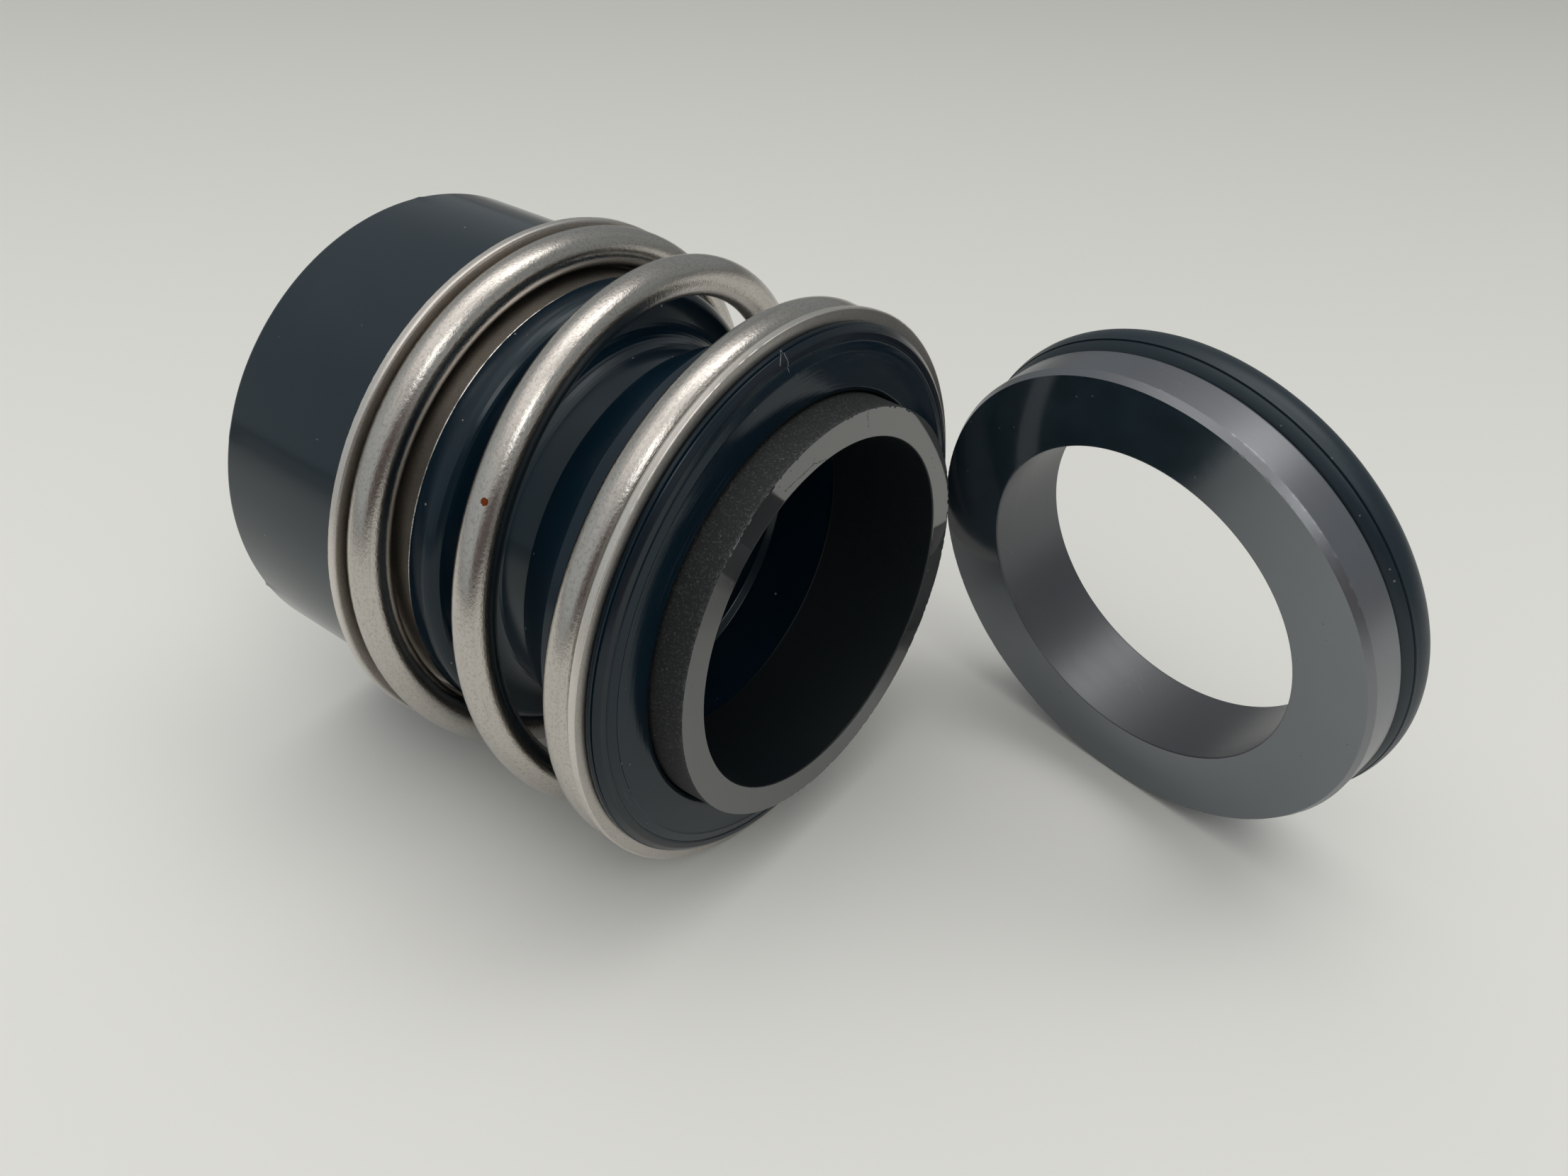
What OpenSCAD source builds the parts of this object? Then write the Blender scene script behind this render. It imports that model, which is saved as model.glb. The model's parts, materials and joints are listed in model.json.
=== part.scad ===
// Rubber bellows mechanical seal: a spring-loaded seal head lying on its side,
// and its stationary seat standing on edge beside the head's collar.
// Millimetres. The head's axis is X, its lapped face is the plane X = 0 and
// looks towards +X, the tail is at -X. The surface it lies on is below, at -Z.

/* [Shaft] */
// Radius of the shaft that the seal is made for
shaft_r = 15; // [10:0.5:25]

/* [Face ring] */
// Gap between the shaft and the ring's bore
ring_clearance = 0.5; // [0.3:0.1:1]
// Wall of the ring's body, where the rubber grips it
ring_wall = 2.6; // [2.4:0.1:4]
// Step of the nose, from the ring's body in to the lapped face's edge
nose_step = 0.1; // [0.1:0.1:1]
// Length of the ring
ring_len = 11; // [9:0.5:13]
// Length of the ring that stands out of the rubber
ring_proud = 2.9; // [1.5:0.1:4]

/* [Angle rings] */
// Thickness of the sheet
sheet_t = 0.8; // [0.5:0.1:1]
// Length of each sleeve in front of its flange
sleeve_len = 4.5; // [3.5:0.1:6]
// Inner radius of the pressed bend
bend_r = 0.5; // [0.3:0.1:0.8]
// Width of the flange outside the wire
flange_margin = 0.15; // [0.05:0.05:1]

/* [Spring] */
// Diameter of the wire
wire_d = 3.4; // [2.6:0.1:4]
// Gap between the wire and the sleeves that centre it
spring_clearance = 0.35; // [0.3:0.05:0.8]
// Axial space between the two flanges
spring_space = 26.3; // [24:0.1:30]
// Number of turns, ends included
spring_turns = 3; // [2.6:0.1:3.6]
// Turns that lie flat against the tail flange
tail_closed_turns = 0.38; // [0.3:0.02:0.6]
// Turns that lie flat against the front flange
front_closed_turns = 0.68; // [0.5:0.02:0.8]

/* [Rubber bellows] */
// Wall of rubber between the ring and the front sleeve
rubber_wall = 1.6; // [0.8:0.1:2]
// Length of the bore that grips the shaft
grip_len = 17; // [12:0.5:20]
// Step from the flanges in to the outside of the tail
tail_inset = 2; // [1:0.1:3]
// Length of the tail behind its flange
tail_len = 16.8; // [10:0.1:24]
// Height of the beads over the sleeves that they hold
bead_lip = 0.2; // [0.1:0.05:0.25]
// Length of the tail bead
tail_bead_len = 2.8; // [2:0.1:4]
// Length of the front bead
front_bead_len = 2.3; // [1.5:0.1:3]
// Gap between the shaft and the folding neck
neck_clearance = 0.15; // [0.1:0.05:0.3]
// Wall of the folding neck
neck_wall = 1.25; // [1:0.05:1.5]
// Axial length over which the tail bead falls to the neck
flare_len = 1.5; // [1:0.1:2]
// Rounding where the neck flares into the tail bead
flare_r = 2.6; // [1.5:0.1:3]
// Height of the front body's rear shoulder over the neck
shoulder_step = 1.2; // [0.8:0.1:1.6]
// Length of the cone between shoulder and front bead
cone_len = 5.1; // [4:0.1:6]
// Step from the flanges in to the outside of the front collar
collar_inset = 1.1; // [0.8:0.1:2]
// Length of the collar's outer band
collar_band = 1; // [0.6:0.1:1.6]
// Length over which the collar's front slopes out to the ring
collar_slope = 0.6; // [0.4:0.1:2]

/* [Stationary seat] */
// Gap between the shaft and the seat's bore
seat_clearance = 0.4; // [0.3:0.1:1]
// Wall of the hub that carries the rubber ring
seat_hub_wall = 2.8; // [2.2:0.1:4]
// Step from the hub out to the rim
seat_rim_step = 3.9; // [3:0.1:5]
// Axial length of the rim, chamfer included
seat_rim_len = 3.95; // [3:0.05:5]
// Radial width of the rim's front chamfer
seat_chamfer_w = 0.35; // [0.2:0.05:0.5]
// Axial length of the rim's front chamfer
seat_chamfer_len = 0.65; // [0.3:0.05:0.8]
// Height of the rubber ring over the rim
o_ring_proud = 0.65; // [0.4:0.05:0.9]
// Turn of the seat's axis from square across the head
seat_turn = 10.7; // [6:0.1:16]

/* [Hidden] */

// Gaps between neighbours that fit round each other
fit_gap = 0.1;
// Gap between the wire and each flange
spring_gap = 0.1;
// Gap between the seat's edge at its middle height and the collar, which the lean halves
lean_gap = 0.3;
// Length over which the seat's rim stands beside the collar's rounded corner
lean_overlap = 0.3;
// Small roundings and chamfers
sheet_edge = 0.2;
rubber_edge = 0.5;
rubber_root = 0.2;
bead_front_round = 1.5;
shoulder_round = 0.7;
collar_round = 0.8;
ceramic_edge = 0.15;
relief_round = 0.8;
// Largest part of an edge that one rounding may use
edge_share = 0.49;
// Part of the free turns over which the spring's pitch begins and ends
ease_share = 0.08;
// Facets of turned surfaces, of a rounding, of the wire and along one turn of wire
turn_facets = 180;
round_steps = 6;
wire_sides = 16;
turn_steps = 40;

// Places along the head, from the lapped face towards the tail
lip_x = -ring_proud;
collar_x = lip_x - collar_slope;
front_flange_x = collar_x - collar_band;
spring_front_x = front_flange_x - sheet_t;
spring_tail_x = spring_front_x - spring_space;
tail_flange_x = spring_tail_x - sheet_t;
tail_x = tail_flange_x - tail_len;
front_sleeve_x = spring_front_x - sleeve_len;
tail_sleeve_x = spring_tail_x + sleeve_len;
front_bead_x = front_sleeve_x - front_bead_len;
shoulder_x = front_bead_x - cone_len;
tail_bead_x = tail_sleeve_x + tail_bead_len;
neck_x = tail_bead_x + flare_len;
ring_back_x = -ring_len;
grip_x = tail_x + grip_len;

// Radii from the shaft outwards, each from its neighbour inside
face_bore_r = shaft_r + ring_clearance;
ring_r = face_bore_r + ring_wall;
nose_r = ring_r - nose_step;
socket_r = ring_r + fit_gap;
rubber_waist_r = socket_r + rubber_wall;
sleeve_bore_r = rubber_waist_r + fit_gap;
sleeve_r = sleeve_bore_r + sheet_t;
bead_r = sleeve_r + bead_lip;
wire_r = wire_d / 2;
coil_r = sleeve_r + spring_clearance + wire_r;
flange_r = coil_r + wire_r + flange_margin;
collar_r = flange_r - collar_inset;
tail_r = flange_r - tail_inset;
neck_bore_r = shaft_r + neck_clearance;
neck_r = neck_bore_r + neck_wall;
shoulder_r = neck_r + shoulder_step;
// Inner radius of the front body behind the ring, halfway up the neck's wall
body_bore_r = neck_bore_r + neck_wall / 2;
seat_bore_r = shaft_r + seat_clearance;
seat_hub_r = seat_bore_r + seat_hub_wall;
seat_rim_r = seat_hub_r + seat_rim_step;

// The rubber ring sits on the hub, against the back of the seat's rim
o_ring_r = (seat_rim_step + o_ring_proud - fit_gap / 2) / 2;
o_ring_d = 2 * o_ring_r;
o_ring_centre_r = seat_rim_r + o_ring_proud - o_ring_r;
o_ring_x = -(seat_rim_len + fit_gap / 2 + o_ring_r);
seat_len = seat_rim_len + fit_gap / 2 + o_ring_d;

// Lean of the seat, which stands on its rim's front corner and on the rubber ring
corner_to_ring = [-o_ring_x - seat_chamfer_len, seat_rim_r - o_ring_centre_r];
seat_lean = asin(o_ring_r / norm(corner_to_ring)) - atan2(corner_to_ring.y, corner_to_ring.x);
seat_z = seat_rim_r * cos(seat_lean) - seat_chamfer_len * sin(seat_lean) - flange_r;
seat_face_r = seat_rim_r - seat_chamfer_w;
chamfer_run = seat_chamfer_len * cos(seat_lean);
seat_x = collar_x - lean_overlap + seat_rim_r * cos(seat_turn) - chamfer_run * sin(seat_turn);
seat_y = collar_r + lean_gap - seat_face_r * sin(seat_turn);

// Points of one rounded corner b between the corners a and c
function unit(v) = v / norm(v);
function short_turn(t) = t > 180 ? t - 360 : t < -180 ? t + 360 : t;
function corner(a, b, c, r) =
    let (
        to_a = unit(a - b),
        to_c = unit(c - b),
        half = acos(to_a * to_c) / 2,
        room = edge_share * min(norm(a - b), norm(c - b)),
        reach = min(r / tan(half), room),
        fit_r = reach * tan(half),
        centre = b + unit(to_a + to_c) * fit_r / sin(half),
        start = b + to_a * reach - centre,
        stop = b + to_c * reach - centre,
        from = atan2(start.y, start.x),
        swing = short_turn(atan2(stop.y, stop.x) - from)
    )
    r == 0 ? [b] : [for (i = [0:round_steps])
        let (t = from + swing * i / round_steps)
        centre + fit_r * [cos(t), sin(t)]];

// Outline through the corners [radius, place, rounding]
function rounded(corners) =
    let (n = len(corners))
    [for (i = [0:n - 1])
        let (a = corners[(i + n - 1) % n], b = corners[i], c = corners[(i + 1) % n])
        each corner([a.x, a.y], [b.x, b.y], [c.x, c.y], b.z)];

// A turned piece round the X axis
module turned(corners) {
    rotate([0, 90, 0])
        rotate_extrude($fn = turn_facets)
            polygon(rounded(corners));
}

// Pressed angle ring: its flange's spring side is at x, its sleeve points along side
module angle_ring(x, side) {
    back = x - side * sheet_t;
    end = x + side * sleeve_len;
    turned([
        [sleeve_bore_r, end, sheet_edge],
        [sleeve_bore_r, back, bend_r + sheet_t],
        [flange_r, back, sheet_edge],
        [flange_r, x, sheet_edge],
        [sleeve_r, x, bend_r],
        [sleeve_r, end, sheet_edge]
    ]);
}

module face_ring() {
    color([0.2, 0.19, 0.18])
        turned([
            [face_bore_r, 0, ceramic_edge],
            [nose_r, 0, ceramic_edge],
            [ring_r, lip_x, 0],
            [ring_r, ring_back_x, ceramic_edge],
            [face_bore_r, ring_back_x, ceramic_edge]
        ]);
}

module front_retainer() {
    color([0.66, 0.64, 0.6])
        angle_ring(spring_front_x, -1);
}

module tail_retainer() {
    color([0.66, 0.64, 0.6])
        angle_ring(spring_tail_x, 1);
}

module rubber_bellows() {
    color([0.07, 0.08, 0.1])
        turned([
            [shaft_r, tail_x, rubber_edge],
            [tail_r, tail_x, rubber_edge],
            [tail_r, tail_flange_x, rubber_root],
            [rubber_waist_r - bend_r, tail_flange_x, rubber_root],
            [rubber_waist_r, tail_flange_x + sheet_t + bend_r, rubber_root],
            [rubber_waist_r, tail_sleeve_x, rubber_root],
            [bead_r, tail_sleeve_x, rubber_edge],
            [bead_r, tail_bead_x, bead_front_round],
            [neck_r, neck_x, flare_r],
            [neck_r, shoulder_x, rubber_root],
            [shoulder_r, shoulder_x, shoulder_round],
            [rubber_waist_r, front_bead_x, bead_front_round],
            [bead_r, front_bead_x + fit_gap, rubber_edge],
            [bead_r, front_sleeve_x, rubber_edge],
            [rubber_waist_r, front_sleeve_x, rubber_root],
            [rubber_waist_r, front_flange_x - sheet_t - bend_r, rubber_root],
            [rubber_waist_r - bend_r, front_flange_x, rubber_root],
            [collar_r, front_flange_x, rubber_root],
            [collar_r, collar_x, collar_round],
            [socket_r, lip_x, rubber_root],
            [socket_r, ring_back_x, rubber_root],
            [body_bore_r, ring_back_x, rubber_root],
            [body_bore_r, shoulder_x + relief_round, relief_round],
            [neck_bore_r, shoulder_x - relief_round, relief_round],
            [neck_bore_r, grip_x + relief_round, relief_round],
            [shaft_r, grip_x, relief_round]
        ]);
}

// Axial place of the wire's middle, flat at both ends and eased into an even pitch
function ramp(t, w) =
    t <= 0 ? 0 :
    t < w ? t * t / (2 * w * (1 - w)) :
    t < 1 - w ? (t - w / 2) / (1 - w) :
    t < 1 ? 1 - (1 - t) * (1 - t) / (2 * w * (1 - w)) : 1;
wire_tail_x = spring_tail_x + spring_gap + wire_r;
wire_front_x = spring_front_x - spring_gap - wire_r;
free_turns = spring_turns - tail_closed_turns - front_closed_turns;
function wire_x(turn) =
    let (t = (turn - tail_closed_turns) / free_turns)
    wire_tail_x + (wire_front_x - wire_tail_x) * ramp(t, ease_share);

// Lead angle of the wire, and one ring of points round it
function lead(turn) =
    let (step = 1 / turn_steps)
    atan((wire_x(turn + step) - wire_x(turn - step)) / (4 * PI * coil_r * step));
function wire_ring(turn) =
    let (
        a = 360 * turn,
        l = lead(turn),
        out = [0, cos(a), sin(a)],
        along = [cos(l), sin(l) * sin(a), -sin(l) * cos(a)],
        middle = [wire_x(turn), 0, 0] + coil_r * out
    )
    [for (k = [0:wire_sides - 1])
        let (b = 360 * k / wire_sides)
        middle + wire_r * (cos(b) * out + sin(b) * along)];

// The wire starts at the far side and winds right-handed over the top
module coil_spring() {
    rings = round(spring_turns * turn_steps);
    points = [for (i = [0:rings]) each wire_ring(spring_turns * i / rings)];
    sides = [for (i = [0:rings - 1], k = [0:wire_sides - 1])
        let (
            m = (k + 1) % wire_sides,
            p = i * wire_sides,
            q = p + wire_sides
        )
        [p + k, p + m, q + m, q + k]];
    first_end = [for (k = [0:wire_sides - 1]) wire_sides - 1 - k];
    last_end = [for (k = [0:wire_sides - 1]) rings * wire_sides + k];
    color([0.7, 0.68, 0.64])
        polyhedron(points, concat(sides, [first_end, last_end]));
}

// Stands a piece modelled on the X axis where the seat stands
module seat_place() {
    translate([seat_x, seat_y, seat_z])
        rotate([0, seat_lean, -90 - seat_turn])
            children();
}

module stationary_seat() {
    color([0.34, 0.35, 0.37])
        seat_place()
            turned([
                [seat_bore_r, 0, ceramic_edge],
                [seat_face_r, 0, 0],
                [seat_rim_r, -seat_chamfer_len, 0],
                [seat_rim_r, -seat_rim_len, ceramic_edge],
                [seat_hub_r, -seat_rim_len, ceramic_edge],
                [seat_hub_r, -seat_len, ceramic_edge],
                [seat_bore_r, -seat_len, ceramic_edge]
            ]);
}

module seat_o_ring() {
    color([0.06, 0.07, 0.09])
        seat_place()
            translate([o_ring_x, 0, 0])
                rotate([0, 90, 0])
                    rotate_extrude($fn = turn_facets)
                        translate([o_ring_centre_r, 0])
                            circle(o_ring_r, $fn = 8 * round_steps);
}

face_ring();
front_retainer();
coil_spring();
tail_retainer();
rubber_bellows();
stationary_seat();
seat_o_ring();
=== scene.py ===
# A rubber bellows mechanical seal, dressed piece by piece around its packed frame.
# Outlines are in millimetres along the piece's own axis, and become metres when placed.
import json
import math
from types import SimpleNamespace

import bmesh
import bpy
from bpy.props import FloatProperty, FloatVectorProperty, PointerProperty
from mathutils import Matrix, Vector, noise
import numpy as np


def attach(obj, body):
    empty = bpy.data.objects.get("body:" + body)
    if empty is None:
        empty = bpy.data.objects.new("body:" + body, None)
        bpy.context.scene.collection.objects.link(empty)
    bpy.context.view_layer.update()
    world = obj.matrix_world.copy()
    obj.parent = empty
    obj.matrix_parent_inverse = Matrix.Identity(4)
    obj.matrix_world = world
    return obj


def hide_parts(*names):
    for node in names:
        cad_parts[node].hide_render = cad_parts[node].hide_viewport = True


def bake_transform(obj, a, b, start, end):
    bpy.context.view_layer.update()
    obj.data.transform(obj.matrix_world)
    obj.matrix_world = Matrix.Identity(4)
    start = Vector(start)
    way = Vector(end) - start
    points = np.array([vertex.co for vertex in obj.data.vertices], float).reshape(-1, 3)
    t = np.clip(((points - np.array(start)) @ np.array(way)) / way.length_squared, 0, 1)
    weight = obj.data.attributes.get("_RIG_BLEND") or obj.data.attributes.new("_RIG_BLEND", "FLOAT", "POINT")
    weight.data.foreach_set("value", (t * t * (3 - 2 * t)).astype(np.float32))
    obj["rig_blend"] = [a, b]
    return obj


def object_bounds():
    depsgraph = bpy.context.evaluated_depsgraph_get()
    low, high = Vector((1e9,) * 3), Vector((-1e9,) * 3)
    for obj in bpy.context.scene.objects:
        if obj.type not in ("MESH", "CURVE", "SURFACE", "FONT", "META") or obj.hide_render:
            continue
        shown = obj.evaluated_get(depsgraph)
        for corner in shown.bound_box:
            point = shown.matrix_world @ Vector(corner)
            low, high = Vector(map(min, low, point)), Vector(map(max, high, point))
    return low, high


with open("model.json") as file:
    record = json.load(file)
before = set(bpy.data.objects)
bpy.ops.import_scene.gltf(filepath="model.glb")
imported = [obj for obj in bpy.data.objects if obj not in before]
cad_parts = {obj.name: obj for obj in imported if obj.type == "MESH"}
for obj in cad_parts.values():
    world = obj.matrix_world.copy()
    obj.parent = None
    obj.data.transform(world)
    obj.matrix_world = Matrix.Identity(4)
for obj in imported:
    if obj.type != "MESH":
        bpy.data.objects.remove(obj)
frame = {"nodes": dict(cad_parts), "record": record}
cad_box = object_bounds()

bl_info = {
    "name": "Rubber Bellows Seal",
    "version": (1, 0, 0),
    "blender": (4, 5, 0),
    "location": "View3D > Sidebar > Seal",
    "description": "Dresses a rubber bellows mechanical seal around its frame",
    "category": "Object",
}

MM = 0.001
AXIS = Vector((1, 0, 0))
UP = Vector((0, 0, 1))
HEAD = Matrix.Identity(4)
TAIL_BODY = "tail_unit"
FACE_BODY = "face_unit"


# Measuring the frame

def mount(name):
    """One mount of the packed record."""
    return next(m for m in frame["record"]["mounts"] if m["name"] == name)


def seat_frame():
    """Where the seat stands: its axis out of the lapped face, its origin in that face."""
    along = Vector(mount("seat_lapped_face")["axis"]).normalized()
    on_axis = Vector(mount("seat_bore")["pos_m"])
    on_face = Vector(mount("seat_lapped_face")["pos_m"])
    centre = on_axis + along * (on_face - on_axis).dot(along)
    up = (UP - along * along.z).normalized()
    side = up.cross(along)
    turned = Matrix((along, side, up)).transposed().to_4x4()
    return Matrix.Translation(centre) @ turned


SEAT = seat_frame()


def reach(node, place):
    """How far a CAD node reaches along and away from the axis of place, in millimetres."""
    back = place.inverted()
    points = [back @ v.co / MM for v in frame["nodes"][node].data.vertices]
    alongs = [p.x for p in points]
    radii = [math.hypot(p.y, p.z) for p in points]
    return SimpleNamespace(tail=min(alongs), front=max(alongs), inner=min(radii), outer=max(radii))


def in_mm(group):
    """The lengths of a property group, in millimetres."""
    lengths = [p.identifier for p in group.bl_rna.properties if p.type == "FLOAT" and p.unit == "LENGTH"]
    return SimpleNamespace(**{name: getattr(group, name) / MM for name in lengths})


# Sizes and colours that a user would change

def length(name, description, default):
    return FloatProperty(name=name, description=description, default=default, min=0.0,
                         unit="LENGTH", precision=5)


def colour(name, description, default):
    return FloatVectorProperty(name=name, description=description, default=default,
                               size=3, min=0.0, soft_max=1.0, subtype="COLOR")


def turns(name, description, default):
    return FloatProperty(name=name, description=description, default=default, min=0.0)


class SealRingSizes(bpy.types.PropertyGroup):
    """The two ceramic rings."""

    nose_step: length("Nose step", "Step of the face ring's nose at its lapped face", 0.0001)
    nose_len: length("Nose length", "Length of the face ring outside the rubber", 0.0029)
    edge: length("Edge", "Rounding of the ceramic edges", 0.00012)
    chamfer_w: length("Chamfer width", "Radial width of the seat's front chamfer", 0.00035)
    chamfer_len: length("Chamfer length", "Axial length of the seat's front chamfer", 0.00065)
    rim_len: length("Rim length", "Length of the seat's rim, chamfer included", 0.00395)
    rim_step: length("Rim step", "Step from the seat's hub out to its rim", 0.0039)
    chip: length("Chip depth", "Depth of the deepest chips along the ground edges", 0.00004)


class SealSteelSizes(bpy.types.PropertyGroup):
    """The pressed angle rings and the coil spring."""

    sheet_t: length("Sheet", "Thickness of the pressed sheet", 0.0008)
    bend_r: length("Bend", "Inner radius of the pressed bend", 0.0005)
    worn_edge: length("Worn edge", "Rounding of the sheet's smooth edges", 0.00025)
    cut_edge: length("Cut edge", "Rounding of the sheet's cut edges under their burr", 0.0001)
    burr: length("Burr", "Height of the burr on the sheet's cut edges", 0.00006)
    wire_edge: length("Wire edge", "Chamfer at the ends of the wire", 0.0003)
    coil_turns: turns("Turns", "Turns of the wire, ends included", 3.0)
    tail_turns: turns("Tail turns", "Turns that lie on the tail flange", 0.38)
    front_turns: turns("Front turns", "Turns that lie on the front flange", 0.68)


class SealRubberSizes(bpy.types.PropertyGroup):
    """The bellows and the seat's rubber ring."""

    edge: length("Edge", "Rounding of the rubber's outer edges", 0.00035)
    root: length("Root", "Rounding of the rubber's inner corners", 0.0002)
    tail_inset: length("Tail inset", "Step from the flange in to the tail", 0.002)
    grip_len: length("Grip", "Length of the bore that grips the shaft", 0.017)
    bead_lip: length("Bead lip", "Height of the beads over the sleeves", 0.0002)
    bead_round: length("Bead rounding", "Rounding of the beads", 0.0015)
    tail_bead_len: length("Tail bead", "Length of the tail bead", 0.0028)
    front_bead_len: length("Front bead", "Length of the front bead", 0.0023)
    neck_clearance: length("Neck clearance", "Gap between shaft and folding neck", 0.00015)
    neck_wall: length("Neck wall", "Wall of the folding neck", 0.00125)
    flare_len: length("Flare", "Length of the flare from bead to neck", 0.0015)
    flare_round: length("Flare rounding", "Rounding of the flare into the neck", 0.0026)
    shoulder_step: length("Shoulder", "Height of the front body over the neck", 0.0012)
    cone_len: length("Cone", "Length of the cone behind the front bead", 0.0051)
    collar_inset: length("Collar inset", "Step from the flange in to the collar", 0.0011)
    band_len: length("Collar band", "Length of the band between flange and collar crease", 0.0005)
    crest_w: length("Crest", "Radial width of the collar's rounded crest", 0.0011)
    ridge_w: length("Ridge", "Radial width of the flat ridge inside the crest", 0.0009)
    crease: length("Crease", "Depth of the crease round the collar", 0.00028)
    lip_round: length("Lip rounding", "Rounding of the collar's lip against the face ring", 0.0003)
    flash: length("Parting line", "Depth and width of the rubber ring's parting line", 0.00009)


class SealFinish(bpy.types.PropertyGroup):
    """Colours of the materials."""

    gloss: colour("Gloss", "Tint of what the dark pieces mirror", (0.90, 0.985, 1.0))
    ring_gloss: colour("Ring gloss", "Tint of what the face ring's lapped face mirrors", (1.0, 1.0, 1.0))
    seat_gloss: colour("Seat gloss", "Tint of what the seat mirrors", (0.93, 0.955, 1.0))
    rubber: colour("Rubber", "Moulded rubber of the bellows", (0.0025, 0.0100, 0.0180))
    ring_rubber: colour("Ring rubber", "Rubber of the seat's ring", (0.0040, 0.0125, 0.0215))
    bloom: colour("Bloom", "Greyish bloom on the collar's crest", (0.0180, 0.0150, 0.0170))
    dust: colour("Dust", "Specks of dust and lint", (0.30, 0.31, 0.31))
    steel: colour("Steel", "Stainless steel", (0.50, 0.473, 0.440))
    soil: colour("Soil", "Brown drawing residue on the steel", (0.19, 0.170, 0.148))
    rust: colour("Rust", "Speck of rust on the wire", (0.20, 0.045, 0.012))
    carbide: colour("Carbide", "Ground wall of the face ring", (0.0110, 0.0110, 0.0108))
    bore: colour("Ring bore", "Finer ground bore of the face ring", (0.0065, 0.0090, 0.0110))
    grain: colour("Grain", "Bright grains in the ground carbide", (0.110, 0.110, 0.106))
    grain_dim: colour("Dim grain", "Clouded patches of the ground seat", (0.030, 0.031, 0.037))
    seat: colour("Seat", "Fine ground carbide of the seat", (0.0185, 0.0200, 0.0245))
    ring_lap: colour("Ring lap", "Lapped face of the face ring", (0.011, 0.012, 0.012))
    seat_lap: colour("Seat lap", "Lapped face of the seat", (0.017, 0.029, 0.038))


class SealStage(bpy.types.PropertyGroup):
    """Camera, room light and floor."""

    lens: FloatProperty(name="Lens", description="Focal length of the camera",
                        default=31.02, min=1.0, unit="CAMERA")
    floor: colour("Floor", "Pale sheet under the seal", (0.82, 0.818, 0.785))
    far_floor: colour("Far floor", "The sheet where it falls off into shade", (0.50, 0.502, 0.474))
    floor_size: length("Floor size", "Side of the sheet", 12.0)
    ceiling: colour("Ceiling", "Light from above", (1.0, 0.985, 0.965))
    walls: colour("Walls", "Light from the walls of the room", (0.93, 0.985, 1.0))
    watcher: colour("Watcher", "Tint of the shaded side behind the camera", (1.0, 0.84, 0.80))


GROUPS = {
    "seal_rings": SealRingSizes,
    "seal_steel": SealSteelSizes,
    "seal_rubber": SealRubberSizes,
    "seal_finish": SealFinish,
    "seal_stage": SealStage,
}


# Turned shapes

HOLD = 0.04
CHIP_HOLD = 0.10
FINE_TURN = 960
EDGE_TURN = 720
TURN = 360
SAME = 0.0005


def outline(bm, corners):
    """Draws corners of (along, radius, rounding) in the plane y = 0 and rounds them."""
    points = [bm.verts.new((along, 0, radius)) for along, radius, _ in corners]
    for a, b in zip(points, points[1:] + points[:1]):
        bm.edges.new((a, b))
    spots = [p.co.copy() for p in points]
    for i, (point, (_, _, rounding)) in enumerate(zip(points, corners)):
        if rounding == 0:
            continue
        to_last = spots[i - 1] - spots[i]
        to_next = spots[(i + 1) % len(spots)] - spots[i]
        half = to_last.angle(to_next) / 2
        room = 0.48 * min(to_last.length, to_next.length)
        bmesh.ops.bevel(bm, geom=[point], offset=min(rounding / math.tan(half), room),
                        offset_type="OFFSET", segments=3 + int(2.5 * rounding), profile=0.5,
                        affect="VERTICES", material=-1, clamp_overlap=False)


def hold_corners(bm, pitch, hold=HOLD, rows=1):
    """Adds rows of points beside the corners, so flats stay flat, and at most pitch apart between."""
    for edge in [e for e in bm.edges if e.calc_length() > 3 * hold * rows]:
        for _ in range(rows):
            a, b = edge.verts
            _, near_a = bmesh.utils.edge_split(edge, a, hold / edge.calc_length())
            long_one = next(e for e in near_a.link_edges if b in e.verts)
            _, near_b = bmesh.utils.edge_split(long_one, b, hold / long_one.calc_length())
            edge = next(e for e in near_a.link_edges if near_b in e.verts)
        cuts = int(edge.calc_length() / pitch)
        if cuts:
            bmesh.ops.subdivide_edges(bm, edges=[edge], cuts=cuts)


def turn_round(bm, steps):
    """Spins the outline an eighth of a turn, doubles that to a whole one and closes the seams."""
    bmesh.ops.spin(bm, geom=bm.verts[:] + bm.edges[:], cent=(0, 0, 0), axis=AXIS,
                   angle=2 * math.pi / 8, steps=steps // 8, use_duplicate=False)
    for share in (8, 4, 2):
        copy = bmesh.ops.duplicate(bm, geom=bm.verts[:] + bm.edges[:] + bm.faces[:])
        bmesh.ops.rotate(bm, cent=(0, 0, 0), matrix=Matrix.Rotation(2 * math.pi / share, 3, "X"),
                         verts=[g for g in copy["geom"] if isinstance(g, bmesh.types.BMVert)])
    bmesh.ops.remove_doubles(bm, verts=bm.verts, dist=SAME)
    bmesh.ops.recalc_face_normals(bm, faces=bm.faces)


def polar(co):
    """Place along the axis, radius, and angle from the camera's side over the top."""
    return co.x, math.hypot(co.y, co.z), math.degrees(math.atan2(co.z, -co.y))


def off_axis(co):
    """Unit vector away from the axis."""
    return Vector((0, co.y, co.z)).normalized()


def round_place(along, radius, degrees):
    """The place at an angle from the camera's side over the top."""
    angle = math.radians(degrees)
    return Vector((along, -radius * math.cos(angle), radius * math.sin(angle)))


def wobble(bm, amount, size):
    """Uneven moulding: moves the surface in and out by up to amount over spans of size."""
    for vert in bm.verts:
        vert.co += off_axis(vert.co) * amount * noise.noise(vert.co / size)


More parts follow.
